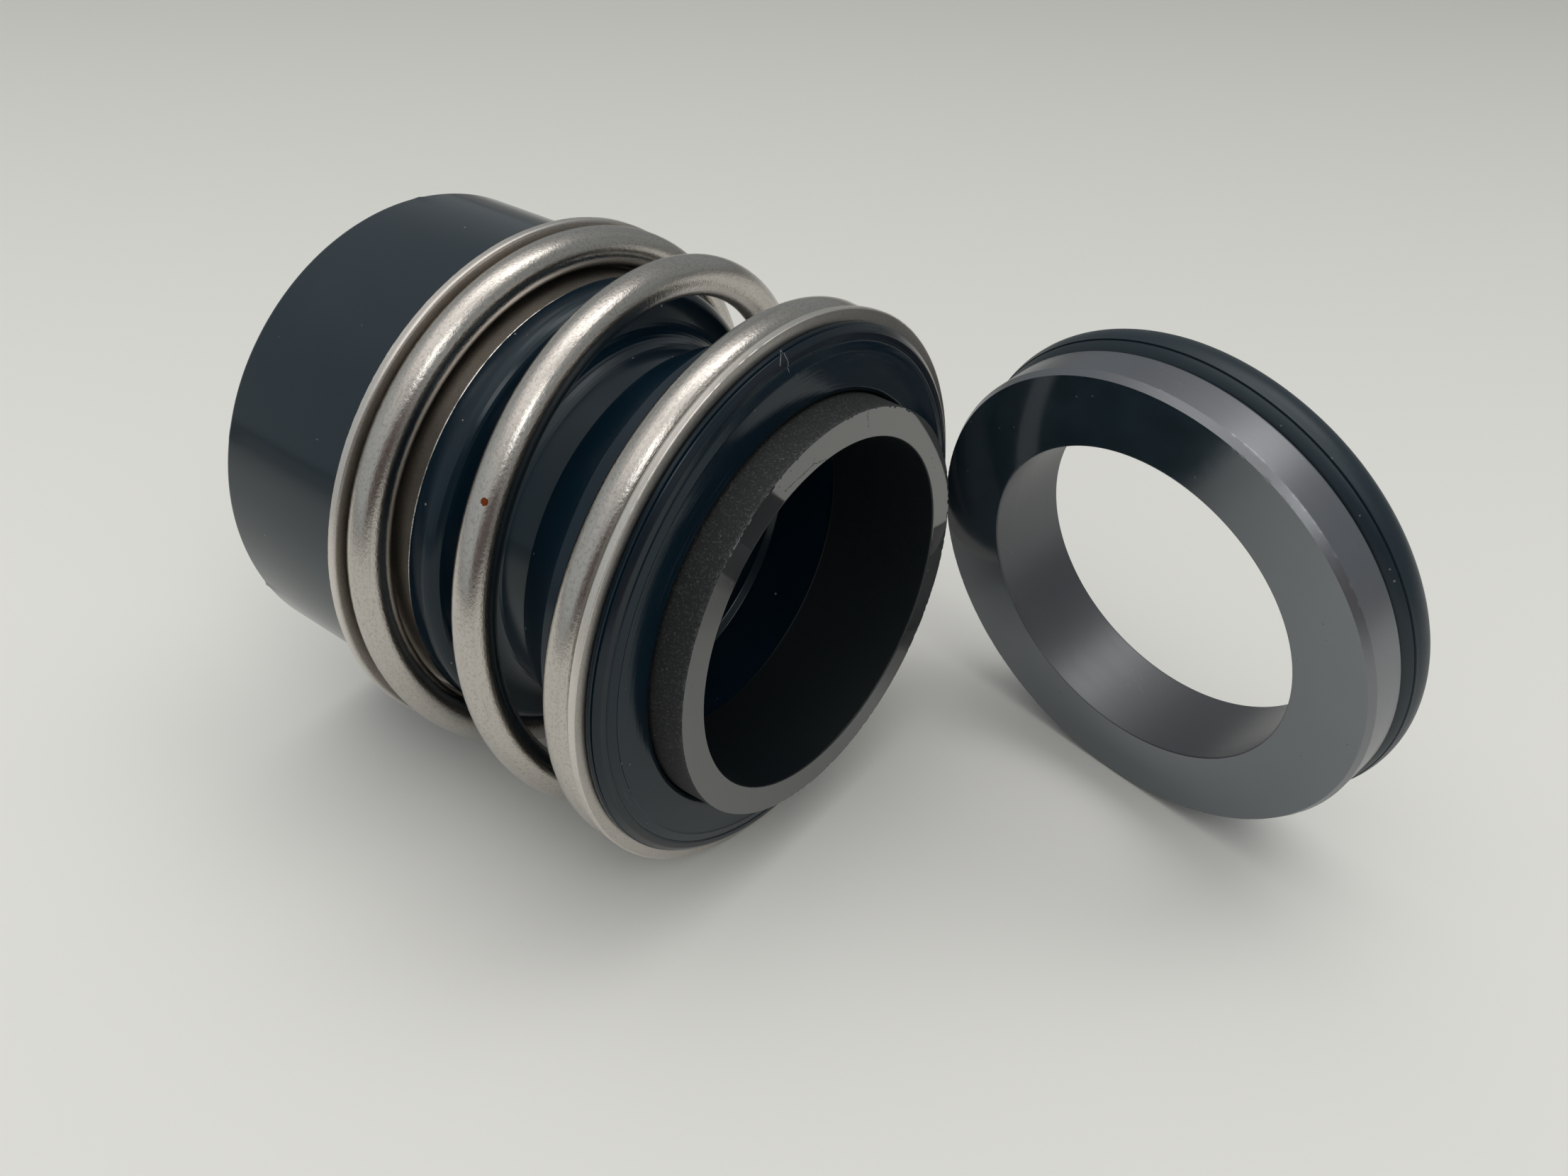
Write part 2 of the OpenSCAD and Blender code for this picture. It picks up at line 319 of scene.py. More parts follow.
def chip(bm, along, radius, depth, seed, bite=0.0):
    """Small chips along a ground edge: the corner breaks back and the flats beside it dip."""
    for vert in bm.verts:
        x, r, _ = polar(vert.co)
        near = 1 - math.hypot(x - along, r - radius) / CHIP_HOLD
        if near <= 0:
            continue
        fine = noise.noise(vert.co * 3.1 + Vector((seed, 0, 0)))
        broad = noise.noise(vert.co * 0.45 + Vector((0, seed, 0)))
        cut = depth * near * min(1.0, max(0.0, 1.7 * fine + 0.7 * broad - bite))
        if abs(r - radius) > SAME:
            vert.co.x -= cut
        if abs(x - along) > SAME:
            vert.co -= off_axis(vert.co) * cut
        if abs(r - radius) < SAME and abs(x - along) < SAME:
            vert.co -= (off_axis(vert.co) + AXIS) * cut


def fray(bm, along, radius, height, outward, seed):
    """A burr on a cut edge: short uneven peaks that stand off the corner."""
    for vert in bm.verts:
        x, r, _ = polar(vert.co)
        near = 1 - math.hypot(x - along, r - radius) / (3 * HOLD)
        if near <= 0:
            continue
        fine = noise.noise(vert.co * 3.7 + Vector((seed, 0, 0)))
        broad = noise.noise(vert.co * 0.3 + Vector((0, seed, 0)))
        peak = max(0.0, 0.35 + fine + 0.8 * broad)
        vert.co += (AXIS * outward[0] + off_axis(vert.co) * outward[1]) * height * near * peak


def dent(bm, spot, size, push):
    """Pushes the surface by the vector push (along, outwards) round one spot."""
    for vert in bm.verts:
        near = 1 - (vert.co - spot).length / size
        if near > 0:
            near = near * near * (3 - 2 * near)
            vert.co += AXIS * push[0] * near + off_axis(vert.co) * push[1] * near


def finish_mesh(bm, name, place, materials, sharp=40):
    """Places a finished shape, in metres, as a new smooth object with its materials."""
    bmesh.ops.transform(bm, matrix=place @ Matrix.Scale(MM, 4), verts=bm.verts)
    mesh = bpy.data.meshes.new(name)
    bm.to_mesh(mesh)
    bm.free()
    mesh.shade_smooth()
    mesh.set_sharp_from_angle(angle=math.radians(sharp))
    for material in materials:
        mesh.materials.append(material)
    piece = bpy.data.objects.new(name, mesh)
    bpy.context.scene.collection.objects.link(piece)
    return piece


# Materials

class Nodes:
    """A node tree while it is being put together."""

    def __init__(self, owner, shader="Principled BSDF"):
        owner.use_nodes = True
        self.owner = owner
        self.tree = owner.node_tree
        self.shader = self.tree.nodes[shader]

    def add(self, kind, output=0, settings=None, **inputs):
        """Adds a node, sets or links its inputs by name or number, and gives one output."""
        node = self.tree.nodes.new("ShaderNode" + kind)
        for key, value in (settings or {}).items():
            setattr(node, key, value)
        for key, value in inputs.items():
            slot = node.inputs[int(key[1:])] if key[0] == "i" and key[1:].isdigit() else node.inputs[key]
            self.feed(slot, value)
        return node.outputs[output]

    def feed(self, slot, value):
        """Links a socket or sets a plain value."""
        if isinstance(value, bpy.types.NodeSocket):
            self.tree.links.new(value, slot)
        elif slot.type == "RGBA" and len(value) == 3:
            slot.default_value = (*value, 1)
        else:
            slot.default_value = value

    def set(self, **inputs):
        """Feeds the main shader's inputs."""
        for key, value in inputs.items():
            self.feed(self.shader.inputs[key.replace("_", " ")], value)

    def math(self, operation, a, b=0.0, c=0.0):
        return self.add("Math", settings={"operation": operation}, i0=a, i1=b, i2=c)

    def most(self, *masks):
        """The strongest of several masks."""
        strongest = masks[0]
        for mask in masks[1:]:
            strongest = self.math("MAXIMUM", strongest, mask)
        return strongest

    def place(self, place=HEAD):
        """Object coordinates, brought to the piece's own axis."""
        co = self.add("TexCoord", "Object")
        if place == HEAD:
            return co
        return self.add("Mapping", settings={"vector_type": "TEXTURE"}, Vector=co,
                        Location=place.to_translation(), Rotation=place.to_euler())

    def part(self, co, letter):
        return self.add("SeparateXYZ", letter, Vector=co)

    def radius(self, co):
        """Distance from the piece's axis."""
        across = self.add("CombineXYZ", X=0.0, Y=self.part(co, "Y"), Z=self.part(co, "Z"))
        return self.add("VectorMath", "Value", settings={"operation": "LENGTH"}, i0=across)

    def rings(self, co, fine, stretch=1.0, detail=3.0):
        """Noise drawn out round the axis, as turning and rubbing leave it."""
        radius = self.radius(co)
        cos = self.math("DIVIDE", self.part(co, "Y"), radius)
        sin = self.math("DIVIDE", self.part(co, "Z"), radius)
        scaled = self.add("CombineXYZ", X=self.math("MULTIPLY", self.part(co, "X"), fine),
                          Y=self.math("MULTIPLY", radius, fine),
                          Z=self.math("MULTIPLY", cos, stretch))
        return self.add("TexNoise", "Fac", settings={"noise_dimensions": "4D"}, Vector=scaled,
                        W=self.math("MULTIPLY", sin, stretch), Scale=1.0, Detail=detail, Roughness=0.6)

    def noise(self, co, scale, detail=2.0, rough=0.5):
        return self.add("TexNoise", "Fac", Vector=co, Scale=scale, Detail=detail, Roughness=rough)

    def spread(self, fac, low, high, out_low=0.0, out_high=1.0):
        """Maps low..high of a pattern to out_low..out_high."""
        return self.add("MapRange", "Result", Value=fac, i1=low, i2=high, i3=out_low, i4=out_high)

    def toward(self, way, azimuth, height):
        """How nearly a way points in a direction: the cosine of the angle between them."""
        return self.add("VectorMath", "Value", settings={"operation": "DOT_PRODUCT"}, i0=way,
                        i1=direction(azimuth, height))

    def steps(self, fac, stops):
        """A brightness that follows stops of (place, brightness), places from 0 to 1."""
        top = max(bright for _, bright in stops)
        node = self.add("ValToRGB", "Color", Fac=fac).node
        elements = node.color_ramp.elements
        while len(elements) < len(stops):
            elements.new(1.0)
        for element, (spot, bright) in zip(elements, stops):
            element.position = spot
            element.color = (bright / top, bright / top, bright / top, 1)
        return self.math("MULTIPLY", node.outputs["Color"], top)

    def blend(self, fac, a, b):
        """Mixes two colours."""
        mix = self.tree.nodes.new("ShaderNodeMix")
        mix.data_type = "RGBA"
        self.feed(mix.inputs["Factor"], fac)
        self.feed(mix.inputs["A"], a)
        self.feed(mix.inputs["B"], b)
        return mix.outputs["Result"]

    def specks(self, co, scale, size, keep):
        """Scattered specks: a share keep of the cells has one, up to size across its cell."""
        cell = self.add("TexVoronoi", "Distance", Vector=co, Scale=scale).node
        chance = self.add("SeparateColor", "Red", Color=cell.outputs["Color"])
        kept_size = self.math("MULTIPLY", self.math("LESS_THAN", chance, keep), size)
        return self.math("LESS_THAN", cell.outputs["Distance"], kept_size)

    def mark(self, co, start, end, up, width):
        """A thin uneven line between two places, on a surface that faces up."""
        along = (end - start).normalized()
        side = up.cross(along).normalized()
        turn = Matrix((along, side, along.cross(side))).transposed().to_euler()
        half = (end - start).length * MM / 2
        own = self.add("Mapping", settings={"vector_type": "TEXTURE"}, Vector=co,
                       Location=start * MM, Rotation=turn)
        waver = self.math("MULTIPLY", self.math("SUBTRACT", self.noise(co, 2400, 2), 0.5), 5 * width)
        across = self.math("ABSOLUTE", self.math("ADD", self.part(own, "Y"), waver))
        off_middle = self.math("ABSOLUTE", self.math("SUBTRACT", self.part(own, "X"), half))
        inside = self.math("LESS_THAN", off_middle, half)
        return self.math("MULTIPLY", self.math("LESS_THAN", across, width / 2), inside)

    def bump(self, height, distance, below=None):
        """Relief of a pattern, in metres, over any relief below it."""
        inputs = {"Height": height, "Distance": distance, "Strength": 1.0}
        if below:
            inputs["Normal"] = below
        return self.add("Bump", "Normal", **inputs)


def new_finish(name):
    return Nodes(bpy.data.materials.new(name)), bpy.context.scene.seal_finish


LINT_WIDTH = 0.04
# Stretches of one fibre of lint on the collar's crest, from place to place
LINT = (
    ((-4.15, -0.97, 23.38), (-3.47, -1.91, 23.32)),
    ((-4.15, -0.97, 23.38), (-3.68, -0.99, 23.38)),
    ((-3.68, -0.99, 23.38), (-2.92, -1.04, 23.10)),
)


def rubber_finish(tail_end, collar_start, crest_r):
    """Moulded rubber: glossiest on its tail, rubbed rings on the collar, dust and a fibre of lint."""
    m, colours = new_finish("moulded_rubber")
    co = m.place()
    cloud = m.noise(co, 70, 3)
    on_collar = m.spread(m.part(co, "X"), collar_start * MM, (collar_start + 0.3) * MM)
    arcs = m.rings(co, 5600, 3.2, 4.0)
    stretches = m.rings(co, 300, 2.4, 2.0)
    rubbed = m.math("MULTIPLY", on_collar, m.math("MULTIPLY", m.spread(arcs, 0.52, 0.66),
                                                  m.spread(stretches, 0.52, 0.62)))
    dusty = m.spread(m.noise(co, 160, 2), 0.42, 0.62)
    dust = m.most(m.math("MULTIPLY", m.specks(co, 900, 0.085, 0.12), dusty),
                  m.specks(co, 420, 0.05, 0.10))
    lint = m.most(*(m.mark(co, Vector(a), Vector(b), UP, LINT_WIDTH * MM) for a, b in LINT))
    tone = m.blend(m.spread(cloud, 0.35, 0.7), colours.rubber, [c * 1.4 for c in colours.rubber])
    by_radius = m.spread(m.radius(co), (crest_r - 0.1) * MM, (crest_r + 0.3) * MM)
    crest = m.math("MULTIPLY", on_collar, by_radius)
    tone = m.blend(m.math("MULTIPLY", crest, m.spread(cloud, 0.3, 0.6)), tone, colours.bloom)
    worn = m.blend(m.math("MULTIPLY", rubbed, 0.5), tone, [0.024 + c for c in colours.rubber])
    m.set(Base_Color=m.blend(m.most(m.math("MULTIPLY", dust, 0.6), m.math("MULTIPLY", lint, 0.8)),
                             worn, colours.dust),
          Specular_Tint=colours.gloss,
          Specular_IOR_Level=m.spread(m.part(co, "X"), tail_end * MM, (tail_end + 0.5) * MM, 0.50, 0.33),
          Roughness=m.math("ADD", m.spread(cloud, 0.3, 0.7, 0.12, 0.18), m.math("MULTIPLY", rubbed, 0.16)),
          Normal=m.bump(dust, 0.00002, m.bump(m.noise(co, 1500, 3), 0.0000012,
                                              m.bump(m.math("MULTIPLY", arcs, on_collar), 0.000008))))
    return m.owner


def ring_rubber_finish():
    """Rubber ring: matt, with fine dust that gathers on its outside."""
    m, colours = new_finish("ring_rubber")
    co = m.place(SEAT)
    cloud = m.noise(co, 120, 4, 0.6)
    bloom = m.spread(m.noise(co, 9000, 3, 0.7), 0.5, 0.75)
    dust = m.most(m.specks(co, 1500, 0.10, 0.10), m.specks(co, 600, 0.06, 0.12))
    tone = m.blend(m.math("MULTIPLY", m.spread(cloud, 0.4, 0.7), bloom), colours.ring_rubber,
                   [0.02 + c for c in colours.ring_rubber])
    m.set(Base_Color=m.blend(m.math("MULTIPLY", dust, 0.4), tone, colours.dust),
          Specular_Tint=colours.gloss,
          Roughness=m.spread(cloud, 0.3, 0.7, 0.34, 0.46),
          Normal=m.bump(m.noise(co, 6000, 3), 0.000003, m.bump(m.noise(co, 700, 2), 0.000003)))
    return m.owner


def steel_base(m, co, colours, streaks, grain, rough):
    """Sets up stainless steel from its drawing and grain patterns, and gives its soiled colour."""
    cloud = m.noise(co, 170, 4, 0.6)
    soil = m.math("MULTIPLY", m.spread(streaks, 0.5, 0.7), m.spread(cloud, 0.42, 0.66))
    pits = m.spread(grain, 0.46, 0.34)
    dull = m.most(m.math("MULTIPLY", soil, 0.42), m.math("MULTIPLY", pits, 0.32))
    clean = m.blend(m.spread(grain, 0.5, 0.68), colours.steel, [c * 1.08 for c in colours.steel])
    m.set(Metallic=1.0,
          Roughness=m.math("ADD", m.spread(streaks, 0.3, 0.7, rough - 0.03, rough + 0.03),
                           m.spread(cloud, 0.3, 0.7, -0.02, 0.04)))
    return m.blend(dull, clean, colours.soil)


def sheet_finish(tail_edge, lip):
    """Pressed stainless sheet: faint rings from the press tool, a fine grain, and painted highlights: a
    sparkling bright line along the cut edge at tail_edge and a bright band at the lip's radius.
    """
    m, colours = new_finish("pressed_sheet")
    co = m.place()
    rings = m.rings(co, 3600, 2.0)
    grain = m.noise(co, 6500, 3, 0.6)
    steel = steel_base(m, co, colours, rings, grain, 0.34)
    # Painted highlight: the base colour is brightened towards 1.9 times the steel, fully in a sparkling line
    # along the cut edge at tail_edge and by about a third round the radius of the flange lip.
    off_edge = m.math("ABSOLUTE", m.math("SUBTRACT", m.part(co, "X"), tail_edge * MM))
    sparkle = m.spread(m.noise(co, 9000, 2), 0.40, 0.56)
    bright = m.most(m.math("MULTIPLY", m.spread(off_edge, 0.00014, 0.00006), sparkle),
                    m.spread(m.radius(co), (lip - 0.18) * MM, (lip - 0.06) * MM, 0.0, 0.35))
    m.set(Base_Color=m.blend(bright, steel, [c * 1.9 for c in colours.steel]),
          Normal=m.bump(grain, 0.000012, m.bump(rings, 0.000003)))
    return m.owner


RUST_PLACE = Vector((-17.05, -19.33, 14.64))
RUST_SIZE = 0.5


def wire_finish():
    """Drawn stainless wire: lines along the wire, pebbled grain and one speck of rust."""
    m, colours = new_finish("drawn_wire")
    co = m.place()
    wire = m.add("Attribute", "Vector", settings={"attribute_name": "wire"})
    lines = m.noise(m.add("Mapping", Vector=wire, Scale=(0.004, 1, 1)), 3200, 4, 0.7)
    grain = m.noise(m.add("Mapping", Vector=wire, Scale=(0.7, 1, 1)), 5200, 3, 0.6)
    steel = steel_base(m, co, colours, lines, grain, 0.17)
    away = m.add("VectorMath", "Value", settings={"operation": "DISTANCE"}, i0=co, i1=RUST_PLACE * MM)
    ragged = m.math("MULTIPLY", m.noise(co, 2500, 2), 0.8 * RUST_SIZE * MM)
    rust = m.math("LESS_THAN", m.math("ADD", away, ragged), RUST_SIZE * MM)
    m.set(Base_Color=m.blend(rust, steel, colours.rust),
          Normal=m.bump(grain, 0.000021, m.bump(lines, 0.000015)))
    return m.owner


def ground_finish(nose, bore):
    """Ground silicon carbide: open dark grain with bright crystals, broken along its edge."""
    m, colours = new_finish("ring_carbide")
    co = m.place()
    fine = m.noise(co, 5200, 3, 0.75)
    by_edge = m.spread(m.part(co, "X"), (nose - 0.45) * MM, (nose - 0.05) * MM, 0.0, 0.10)
    crystals = m.spread(m.math("ADD", fine, by_edge), 0.52, 0.74, 0.0, 0.62)
    sparks = m.math("MULTIPLY", m.specks(co, 2100, 0.14, 0.07), 0.8)
    outside = m.spread(m.radius(co), (bore + 0.1) * MM, (bore + 0.4) * MM, 0.0, 1.0)
    ground = m.blend(outside, colours.bore, colours.carbide)
    m.set(Base_Color=m.blend(m.math("MULTIPLY", m.most(crystals, sparks), outside), ground, colours.grain),
          Roughness=m.spread(outside, 0.0, 1.0, 0.40, 0.62),
          IOR=1.45,
          Specular_Tint=colours.gloss,
          Normal=m.bump(fine, 0.00002))
    return m.owner


def seat_finish(bore, rim):
    """Fine ground seat: satin and faintly violet, with rubbed streaks round its chamfer, and painted shade
    that darkens its bore.
    """
    m, colours = new_finish("seat_carbide")
    co = m.place(SEAT)
    cloud = m.noise(co, 110, 3)
    rings = m.rings(co, 2600, 1.6)
    scuffs = m.math("MULTIPLY", m.spread(m.rings(co, 7000, 26.0, 2.0), 0.60, 0.68),
                    m.spread(m.noise(co, 260, 2), 0.5, 0.62))
    outside = m.spread(m.radius(co), (bore + 0.5) * MM, (rim - 0.5) * MM)
    # Painted shade: the base colour is darkest in the bore and grows 2.1 times lighter out to the rim.
    tone = m.blend(outside, colours.seat, [c * 2.1 for c in colours.seat])
    tone = m.blend(m.math("MULTIPLY", m.spread(cloud, 0.35, 0.65), 0.5), tone, colours.grain_dim)
    m.set(Base_Color=m.blend(m.math("MULTIPLY", scuffs, 0.35), tone, colours.grain),
          Roughness=m.math("ADD", m.spread(outside, 0.0, 1.0, 0.36, 0.28),
                           m.spread(rings, 0.4, 0.7, 0.0, 0.03)),
          IOR=2.1,
          Specular_IOR_Level=m.spread(outside, 0.0, 1.0, 0.40, 0.72),
          Specular_Tint=colours.seat_gloss,
          Normal=m.bump(m.noise(co, 5200, 2), 0.0000015))
    return m.owner


# Scratches and cracks on the face ring's lapped face: start, end and width in metres
FACE_MARKS = (
    ((0, -5.84, 15.47), (0, -2.33, 16.03), 0.00010),
    ((0, -2.33, 16.03), (0, -0.69, 15.64), 0.00007),
    ((0, -2.40, 15.95), (0, -2.21, 16.60), 0.00005),
    ((0, 4.42, 17.38), (0, 4.63, 15.80), 0.00006),
)


def lapped_finish(m, co, tone, rough, mirror, tint, spoiled):
    """Lapped carbide: a dark mirror with the faintest haze, spoiled where the mask says."""
    haze = m.noise(co, 260, 4, 0.6)
    hazed = m.blend(m.spread(haze, 0.35, 0.7), tone, [c * 1.4 for c in tone])
    m.set(Base_Color=m.blend(spoiled, hazed, bpy.context.scene.seal_finish.carbide),
          Roughness=m.math("ADD", m.spread(haze, 0.3, 0.7, rough, rough * 1.4),
                           m.math("MULTIPLY", spoiled, 0.5)),
          IOR=mirror,
          Specular_Tint=tint,
          Normal=m.bump(spoiled, -0.00002))
    return m.owner


def ring_face_finish():
    """Lapped face of the face ring, with its scratch and a few pits."""
    m, colours = new_finish("ring_lapped")
    co = m.place()
    marks = [m.mark(co, Vector(a), Vector(b), AXIS, width) for a, b, width in FACE_MARKS]
    return lapped_finish(m, co, colours.ring_lap, 0.035, 2.28, colours.ring_gloss,
                         m.most(m.specks(co, 800, 0.06, 0.12), *marks))


def seat_face_finish():
    """Lapped face of the seat: softer than the ring's and without marks."""
    m, colours = new_finish("seat_lapped")
    co = m.place(SEAT)
    return lapped_finish(m, co, colours.seat_lap, 0.10, 2.65, colours.seat_gloss,
                         m.specks(co, 700, 0.05, 0.12))


# Pieces

def ring_sizes(scene):
    return in_mm(scene.seal_rings), reach("face_ring", HEAD), reach("stationary_seat", SEAT)


IN_FACE = 0.03
FACING = 0.9


def lapped_faces(bm, front):
    """Gives the flat front face the second material."""
    for face in bm.faces:
        centre = face.calc_center_median()
        if abs(centre.x - front) < IN_FACE and face.normal.x > FACING:
            face.material_index = 1


class SEAL_OT_face_ring(bpy.types.Operator):
    """Turned face ring with a chipped edge and a lapped face."""

    bl_idname = "seal.face_ring"
    bl_label = "Face Ring"

    def execute(self, context):
        size, ring, _ = ring_sizes(context.scene)
        nose = ring.outer - size.nose_step
        bm = bmesh.new()
        outline(bm, [
            (ring.front, ring.inner, size.edge),
            (ring.front, nose, 0),
            (-size.nose_len, ring.outer, 0),
            (ring.tail, ring.outer, size.edge),
            (ring.tail, ring.inner, size.edge),
        ])
        hold_corners(bm, 2.0, CHIP_HOLD, 2)
        turn_round(bm, FINE_TURN)
        lapped_faces(bm, ring.front)
        chip(bm, ring.front, nose, size.chip, 3.1, 0.1)
        piece = finish_mesh(bm, "face_ring_turned", HEAD,
                            [ground_finish(ring.front, ring.inner), ring_face_finish()])
        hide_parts("face_ring")
        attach(piece, FACE_BODY)
        return {"FINISHED"}


class SEAL_OT_seat(bpy.types.Operator):
    """Stationary seat with its chamfered rim, hub and lapped face."""

    bl_idname = "seal.seat"
    bl_label = "Stationary Seat"

    def execute(self, context):
        size, _, seat = ring_sizes(context.scene)
        hub = seat.outer - size.rim_step
        face = seat.outer - size.chamfer_w
        bm = bmesh.new()
        outline(bm, [
            (seat.front, seat.inner, size.edge),
            (seat.front, face, 0),
            (-size.chamfer_len, seat.outer, 0),
            (-size.rim_len, seat.outer, size.edge),
            (-size.rim_len, hub, size.edge),
            (seat.tail, hub, size.edge),
            (seat.tail, seat.inner, size.edge),
        ])
        hold_corners(bm, 2.0, CHIP_HOLD, 2)
        turn_round(bm, FINE_TURN)
        lapped_faces(bm, seat.front)
        chip(bm, seat.front, face, size.chip / 2, 7.7, 0.25)
        chip(bm, -size.chamfer_len, seat.outer, size.chip / 2, 1.3, 0.15)
        piece = finish_mesh(bm, "seat_turned", SEAT,
                            [seat_finish(seat.inner, seat.outer), seat_face_finish()], sharp=18)
        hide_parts("stationary_seat")
        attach(piece, TAIL_BODY)
        return {"FINISHED"}


PARTING_DEGREES = 62


class SEAL_OT_seat_ring(bpy.types.Operator):
    """Rubber ring on the seat's hub, with its parting line."""

    bl_idname = "seal.seat_ring"
    bl_label = "Seat Rubber Ring"

    def execute(self, context):
        size = in_mm(context.scene.seal_rubber)
        ring = reach("seat_o_ring", SEAT)
        section = (ring.front - ring.tail) / 2
        centre = Vector(((ring.front + ring.tail) / 2, 0, (ring.inner + ring.outer) / 2))
        parting = math.radians(PARTING_DEGREES)
        line = centre + Vector((math.cos(parting), 0, math.sin(parting))) * section
        upright = Matrix.Translation(centre) @ Matrix.Rotation(math.radians(90), 4, "X")
        bm = bmesh.new()
        bmesh.ops.create_circle(bm, cap_ends=False, radius=section, segments=64, matrix=upright)
        seam = min(bm.verts, key=lambda v: (v.co - line).length)
        cut = bmesh.ops.bevel(bm, geom=[seam], offset=size.flash, offset_type="OFFSET", segments=2,
                              profile=0.5, affect="VERTICES", material=-1, clamp_overlap=False)
        groove = min(cut["verts"], key=lambda v: (v.co - line).length)
        groove.co += (centre - groove.co).normalized() * size.flash
        lip = min((v for v in cut["verts"] if v is not groove), key=lambda v: v.co.x)
        lip.co -= (centre - lip.co).normalized() * size.flash / 3
        turn_round(bm, TURN)
        wobble(bm, 0.03, 9.0)
        piece = finish_mesh(bm, "seat_rubber_ring", SEAT, [ring_rubber_finish()])
        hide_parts("seat_o_ring")
        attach(piece, TAIL_BODY)
        return {"FINISHED"}


def angle_ring(name, node, side, body, material):
    """A pressed angle ring whose sleeve points along side from its flange."""
    size = in_mm(bpy.context.scene.seal_steel)
    ring = reach(node, HEAD)
    flange_back, sleeve_end = (ring.tail, ring.front) if side > 0 else (ring.front, ring.tail)
    spring_side = flange_back + side * size.sheet_t
    sleeve = ring.inner + size.sheet_t
    lip = ring.outer - size.burr
    bm = bmesh.new()
    outline(bm, [
        (sleeve_end, ring.inner, size.worn_edge),
        (flange_back, ring.inner, size.bend_r + size.sheet_t),
        (flange_back, lip, size.cut_edge),
        (spring_side, lip, size.worn_edge),
        (spring_side, sleeve, size.bend_r),
        (sleeve_end, sleeve, size.cut_edge),
    ])
    hold_corners(bm, 1.5)
    turn_round(bm, EDGE_TURN)
    fray(bm, flange_back, lip, size.burr, (0, 0.7), 2.6)
    fray(bm, sleeve_end, sleeve, size.burr, (0, 1), 5.9)
    wobble(bm, 0.015, 7.0)
    piece = finish_mesh(bm, name, HEAD, [material])
    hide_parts(node)
    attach(piece, body)


class SEAL_OT_retainers(bpy.types.Operator):
    """The two pressed angle rings that hold the spring."""

    bl_idname = "seal.retainers"
    bl_label = "Angle Rings"

    def execute(self, context):
        tail = reach("tail_retainer", HEAD)
        sheet = sheet_finish(tail.front, tail.outer)
        angle_ring("front_angle_ring", "front_retainer", -1, FACE_BODY, sheet)
        angle_ring("tail_angle_ring", "tail_retainer", 1, TAIL_BODY, sheet)
        return {"FINISHED"}


WIRE_SIDES = 32
WIRE_STEPS = 120
EASE = 0.08


def eased(t):
    """Share of the spring's rise after the share t of its free turns."""
    t = min(max(t, 0.0), 1.0)
    if t < EASE:
        return t * t / (2 * EASE * (1 - EASE))
    if t > 1 - EASE:
        return 1 - (1 - t) ** 2 / (2 * EASE * (1 - EASE))
    return (t - EASE / 2) / (1 - EASE)


class SEAL_OT_spring(bpy.types.Operator):
    """One right-hand wire, spun up turn by turn, with both ends cut square."""

    bl_idname = "seal.spring"
    bl_label = "Coil Spring"

    def execute(self, context):
        steel = context.scene.seal_steel
        size = in_mm(steel)
        wire = reach("coil_spring", HEAD)
        radius = (wire.outer - wire.inner) / 2
        coil = wire.inner + radius
        first = wire.tail + radius
        rise = wire.front - radius - first
        free = steel.coil_turns - steel.tail_turns - steel.front_turns
        steps = round(steel.coil_turns * WIRE_STEPS)
        shares = [eased((i / WIRE_STEPS - steel.tail_turns) / free) for i in range(steps + 1)]
        bm = bmesh.new()
        trace = bm.verts.layers.float_vector.new("wire")
        travel = bm.verts.layers.float.new("travel")
        start = Matrix.Translation((first, coil, 0))
        bmesh.ops.create_circle(bm, cap_ends=False, radius=radius, segments=WIRE_SIDES, matrix=start)
        section = bm.edges[:]
        loops = [bm.verts[:]]
        for i in range(steps):
            advance = (shares[i + 1] - shares[i]) * rise
            spun = bmesh.ops.spin(bm, geom=section, cent=(0, 0, 0), axis=AXIS, dvec=(advance, 0, 0),
                                  angle=2 * math.pi / WIRE_STEPS, steps=1, use_duplicate=False)
            section = [g for g in spun["geom_last"] if isinstance(g, bmesh.types.BMEdge)]
            loops.append([g for g in spun["geom_last"] if isinstance(g, bmesh.types.BMVert)])
        for i, loop in enumerate(loops):
            middle = sum((v.co for v in loop), Vector()) / len(loop)
            out = off_axis(middle)
            for vert in loop:
                arm = vert.co - middle
                vert[travel] = shares[i]
                vert[trace] = Vector((i / WIRE_STEPS * 2 * math.pi * coil, arm.dot(out), arm.x)) * MM
        for loop in (loops[0], loops[-1]):
            ring = [e for e in bm.edges if e.verts[0] in loop and e.verts[1] in loop]
            bmesh.ops.contextual_create(bm, geom=ring)
            bmesh.ops.bevel(bm, geom=ring, offset=size.wire_edge, offset_type="OFFSET", segments=3,
                            profile=0.5, affect="EDGES", material=-1, clamp_overlap=False)
        bmesh.ops.recalc_face_normals(bm, faces=bm.faces)
        piece = finish_mesh(bm, "spring_wire", HEAD, [wire_finish()])
        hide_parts("coil_spring")
        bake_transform(piece, TAIL_BODY, FACE_BODY, start=(wire.tail * MM, 0, 0), end=(wire.front * MM, 0, 0))
        # Each section of the wire travels whole, by its own share of the rise, and so stays round
        points = piece.data.attributes
        for weight, own in zip(points["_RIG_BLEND"].data, points["travel"].data):
            weight.value = own.value
        return {"FINISHED"}


BELLOWS_TURN = 288
# Moulding nibs on the tail's edge: degrees round it, reach, and push along and outwards
TAIL_NIBS = (
    (-18.7, 0.55, (-0.12, 0.14)),
    (97.2, 0.60, (0.0, 0.10)),
    (23.0, 0.60, (0.05, 0.08)),
)


